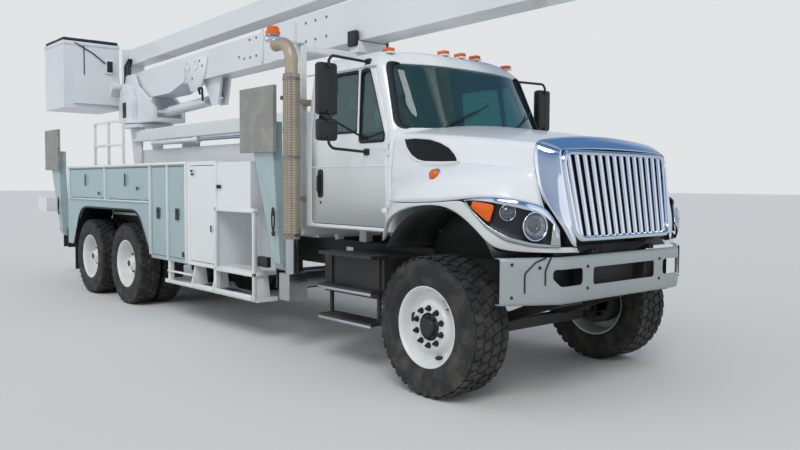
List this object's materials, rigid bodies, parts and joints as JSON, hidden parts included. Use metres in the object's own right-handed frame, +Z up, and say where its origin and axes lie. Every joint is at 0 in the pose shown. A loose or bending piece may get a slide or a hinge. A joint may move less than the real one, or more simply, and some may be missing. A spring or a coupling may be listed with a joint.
{
  "type": "cherry picker truck",
  "caption": "Bonneted tandem-axle truck with a utility body, swing-down outriggers and an elevator-mounted two-boom aerial device carrying a covered bucket.",
  "frame": {"origin": "on the ground, under the middle of the overall box, on the truck's centre line", "axes": "+X forward, +Y to the truck's left, +Z up"},
  "size_m": [11.68, 3.06, 4.17],
  "materials": {
    "white_paint": "gloss white enamel",
    "body_paint": "weathered white enamel",
    "boom_white": "white enamel on steel and fibreglass",
    "rim_white": "white steel wheel paint",
    "chassis_black": "satin black chassis paint",
    "engine_grey": "oily casting",
    "chrome": "polished chrome",
    "bumper_grey": "silver grey paint",
    "tyre_rubber": "dusty tread rubber",
    "glass": "green tinted glass",
    "cab_trim": "grey vinyl and plastic",
    "mirror_black": "black moulded plastic",
    "stack_steel": "heat-tanned perforated steel",
    "outrigger_paint": "worn white paint over steel",
    "rod_chrome": "hard-chromed rod",
    "bucket_fibreglass": "glass-fibre shell",
    "cover_vinyl": "dark blue coated cloth",
    "tank_metal": "black tank and steps"
  },
  "bodies": {
    "chassis": {"chassis_frame": "chassis_black", "axles": "chassis_black", "engine": "engine_grey", "side_tanks": "tank_metal", "cab_shell": "white_paint", "cab_glass": "glass", "cab_interior": "cab_trim", "front_bumper": "bumper_grey", "exhaust_stack": "stack_steel", "side_body_right": "body_paint", "side_body_left": "body_paint", "deck": "white_paint", "pedestal": "boom_white"},
    "hood": {"hood": "white_paint", "grille": "chrome"},
    "cab_door_right": {"cab_door_right": "white_paint", "door_glass_right": "glass", "mirror_right": "mirror_black"},
    "cab_door_left": {"cab_door_left": "white_paint", "door_glass_left": "glass", "mirror_left": "mirror_black"},
    "knuckle_right": {"knuckle_right": "chassis_black"},
    "front_wheel_right": {"front_tyre_right": "tyre_rubber", "front_rim_right": "rim_white"},
    "middle_wheels_right": {"middle_tyres_right": "tyre_rubber", "middle_rims_right": "rim_white"},
    "rear_wheels_right": {"rear_tyres_right": "tyre_rubber", "rear_rims_right": "rim_white"},
    "knuckle_left": {"knuckle_left": "chassis_black"},
    "front_wheel_left": {"front_tyre_left": "tyre_rubber", "front_rim_left": "rim_white"},
    "middle_wheels_left": {"middle_tyres_left": "tyre_rubber", "middle_rims_left": "rim_white"},
    "rear_wheels_left": {"rear_tyres_left": "tyre_rubber", "rear_rims_left": "rim_white"},
    "outrigger_front_right": {"outrigger_front_right": "outrigger_paint"},
    "outrigger_front_left": {"outrigger_front_left": "outrigger_paint"},
    "outrigger_rear_right": {"outrigger_rear_right": "outrigger_paint"},
    "outrigger_rear_left": {"outrigger_rear_left": "outrigger_paint"},
    "rear_bin_door_right": {"rear_bin_door_right": "body_paint"},
    "middle_bin_door_right": {"middle_bin_door_right": "body_paint"},
    "bay_door_right": {"bay_door_right": "body_paint"},
    "front_bay_door_right": {"front_bay_door_right": "body_paint"},
    "cabinet_door_right": {"cabinet_door_right": "body_paint"},
    "rear_bin_door_left": {"rear_bin_door_left": "body_paint"},
    "middle_bin_door_left": {"middle_bin_door_left": "body_paint"},
    "elevator_arm": {"elevator_arm": "boom_white"},
    "elevator_link": {"elevator_link": "boom_white"},
    "riser": {"riser": "boom_white"},
    "elevator_barrel": {"elevator_barrel": "boom_white"},
    "elevator_rod": {"elevator_rod": "rod_chrome"},
    "turret": {"turret": "boom_white"},
    "lower_boom": {"lower_boom": "boom_white"},
    "lift_barrel": {"lift_barrel": "boom_white"},
    "lift_rod": {"lift_rod": "rod_chrome"},
    "upper_boom": {"upper_boom": "boom_white"},
    "platform": {"platform_bracket": "boom_white", "bucket": "bucket_fibreglass", "bucket_cover": "cover_vinyl"}
  },
  "joints": [
    {"name": "hood_tilt", "type": "hinge", "parent": "chassis", "child": "hood", "pos_m": [4.985, 0, 1.158], "axis": [0, 1, 0], "range_deg": [0, 55]},
    {"name": "cab_door_right_swing", "type": "hinge", "parent": "chassis", "child": "cab_door_right", "pos_m": [3.32, -1.01, 1.575], "axis": [0, 0, 1], "range_deg": [0, 70]},
    {"name": "cab_door_left_swing", "type": "hinge", "parent": "chassis", "child": "cab_door_left", "pos_m": [3.32, 1.01, 1.575], "axis": [0, 0, -1], "range_deg": [0, 70]},
    {"name": "steer_right", "type": "hinge", "parent": "chassis", "child": "knuckle_right", "pos_m": [4.08, -0.79, 0.55], "axis": [0, 0, 1], "range_deg": [-32, 32]},
    {"name": "front_wheel_right_spin", "type": "hinge", "parent": "knuckle_right", "child": "front_wheel_right", "pos_m": [4.08, -1.08, 0.55], "axis": [0, 1, 0], "continuous": true},
    {"name": "middle_wheels_right_spin", "type": "hinge", "parent": "chassis", "child": "middle_wheels_right", "pos_m": [-1.98, -1.075, 0.55], "axis": [0, 1, 0], "continuous": true},
    {"name": "rear_wheels_right_spin", "type": "hinge", "parent": "chassis", "child": "rear_wheels_right", "pos_m": [-3.35, -1.075, 0.55], "axis": [0, 1, 0], "continuous": true},
    {"name": "steer_left", "type": "hinge", "parent": "chassis", "child": "knuckle_left", "pos_m": [4.08, 0.79, 0.55], "axis": [0, 0, 1], "range_deg": [-32, 32]},
    {"name": "front_wheel_left_spin", "type": "hinge", "parent": "knuckle_left", "child": "front_wheel_left", "pos_m": [4.08, 1.08, 0.55], "axis": [0, 1, 0], "continuous": true},
    {"name": "middle_wheels_left_spin", "type": "hinge", "parent": "chassis", "child": "middle_wheels_left", "pos_m": [-1.98, 1.075, 0.55], "axis": [0, 1, 0], "continuous": true},
    {"name": "rear_wheels_left_spin", "type": "hinge", "parent": "chassis", "child": "rear_wheels_left", "pos_m": [-3.35, 1.075, 0.55], "axis": [0, 1, 0], "continuous": true},
    {"name": "outrigger_front_right_swing", "type": "hinge", "parent": "chassis", "child": "outrigger_front_right", "pos_m": [1.86, -1.09, 0.86], "axis": [1, 0, 0], "range_deg": [0, 108]},
    {"name": "outrigger_front_left_swing", "type": "hinge", "parent": "chassis", "child": "outrigger_front_left", "pos_m": [1.86, 1.09, 0.86], "axis": [-1, 0, 0], "range_deg": [0, 108]},
    {"name": "outrigger_rear_right_swing", "type": "hinge", "parent": "chassis", "child": "outrigger_rear_right", "pos_m": [-4.66, -1.09, 0.86], "axis": [1, 0, 0], "range_deg": [0, 110]},
    {"name": "outrigger_rear_left_swing", "type": "hinge", "parent": "chassis", "child": "outrigger_rear_left", "pos_m": [-4.66, 1.09, 0.86], "axis": [-1, 0, 0], "range_deg": [0, 110]},
    {"name": "rear_bin_door_right_swing", "type": "hinge", "parent": "chassis", "child": "rear_bin_door_right", "pos_m": [-3.4075, -1.23, 1.427], "axis": [1, 0, 0], "range_deg": [0, 90]},
    {"name": "middle_bin_door_right_swing", "type": "hinge", "parent": "chassis", "child": "middle_bin_door_right", "pos_m": [-1.8825, -1.23, 1.427], "axis": [1, 0, 0], "range_deg": [0, 90]},
    {"name": "bay_door_right_swing", "type": "hinge", "parent": "chassis", "child": "bay_door_right", "pos_m": [-0.612, -1.23, 1.2975], "axis": [0, 0, 1], "range_deg": [0, 95]},
    {"name": "front_bay_door_right_swing", "type": "hinge", "parent": "chassis", "child": "front_bay_door_right", "pos_m": [-0.117, -1.23, 1.2975], "axis": [0, 0, 1], "range_deg": [0, 95]},
    {"name": "cabinet_door_right_swing", "type": "hinge", "parent": "chassis", "child": "cabinet_door_right", "pos_m": [0.603, -1.23, 1.2975], "axis": [0, 0, 1], "range_deg": [0, 95]},
    {"name": "rear_bin_door_left_swing", "type": "hinge", "parent": "chassis", "child": "rear_bin_door_left", "pos_m": [-3.4075, 1.23, 1.427], "axis": [-1, 0, 0], "range_deg": [0, 90]},
    {"name": "middle_bin_door_left_swing", "type": "hinge", "parent": "chassis", "child": "middle_bin_door_left", "pos_m": [-1.8825, 1.23, 1.427], "axis": [-1, 0, 0], "range_deg": [0, 90]},
    {"name": "elevator", "type": "hinge", "parent": "chassis", "child": "elevator_arm", "pos_m": [0.89, 0, 2.03], "axis": [0, 1, 0], "range_deg": [0, 75]},
    {"name": "elevator_link_pivot", "type": "hinge", "parent": "chassis", "child": "elevator_link", "pos_m": [0.89, 0, 2.4], "axis": [0, 1, 0], "range_deg": [0, 75]},
    {"name": "riser_pivot", "type": "hinge", "parent": "elevator_arm", "child": "riser", "pos_m": [-4.01, 0, 2.03], "axis": [0, 1, 0], "range_deg": [-75, 0]},
    {"name": "elevator_barrel_pivot", "type": "hinge", "parent": "chassis", "child": "elevator_barrel", "pos_m": [0.53, 0, 1.45], "axis": [0, 1, 0], "range_deg": [0, 67.56]},
    {"name": "elevator_rod_slide", "type": "slide", "parent": "elevator_barrel", "child": "elevator_rod", "axis": [-0.9693, 0, 0.2459], "range_m": [0, 0.8001]},
    {"name": "turret_turn", "type": "hinge", "parent": "riser", "child": "turret", "pos_m": [-4.01, 0, 2.595], "axis": [0, 0, 1], "continuous": true},
    {"name": "lower_boom_raise", "type": "hinge", "parent": "turret", "child": "lower_boom", "pos_m": [-4.14, 0, 3.25], "axis": [0, -1, 0], "range_deg": [0, 80]},
    {"name": "lift_barrel_pivot", "type": "hinge", "parent": "turret", "child": "lift_barrel", "pos_m": [-3.31, 0, 2.76], "axis": [0, -1, 0], "range_deg": [0, 86.97]},
    {"name": "lift_rod_slide", "type": "slide", "parent": "lift_barrel", "child": "lift_rod", "axis": [0.999, 0, 0.0457], "range_m": [0, 1.2081]},
    {"name": "upper_boom_unfold", "type": "hinge", "parent": "lower_boom", "child": "upper_boom", "pos_m": [5.64, 0, 3.97], "axis": [0, 1, 0], "range_deg": [0, 140]},
    {"name": "platform_level", "type": "hinge", "parent": "upper_boom", "child": "platform", "pos_m": [-4.47, 0, 3.22], "axis": [0, 1, 0], "range_deg": [-60, 0]}
  ],
  "couplings": [
    {"joint": "steer_left", "follows": "steer_right", "ratio": 1},
    {"joint": "elevator_link_pivot", "follows": "elevator", "ratio": 1},
    {"joint": "riser_pivot", "follows": "elevator", "ratio": -1},
    {"joint": "elevator_barrel_pivot", "follows": "elevator", "ratio": 0.90064},
    {"joint": "elevator_rod_slide", "follows": "elevator", "m_per_rad": 0.61107},
    {"joint": "lift_barrel_pivot", "follows": "lower_boom_raise", "ratio": 1.087},
    {"joint": "lift_rod_slide", "follows": "lower_boom_raise", "m_per_rad": 0.86507},
    {"joint": "upper_boom_unfold", "follows": "lower_boom_raise", "ratio": 1.75},
    {"joint": "platform_level", "follows": "lower_boom_raise", "ratio": -0.75}
  ]
}
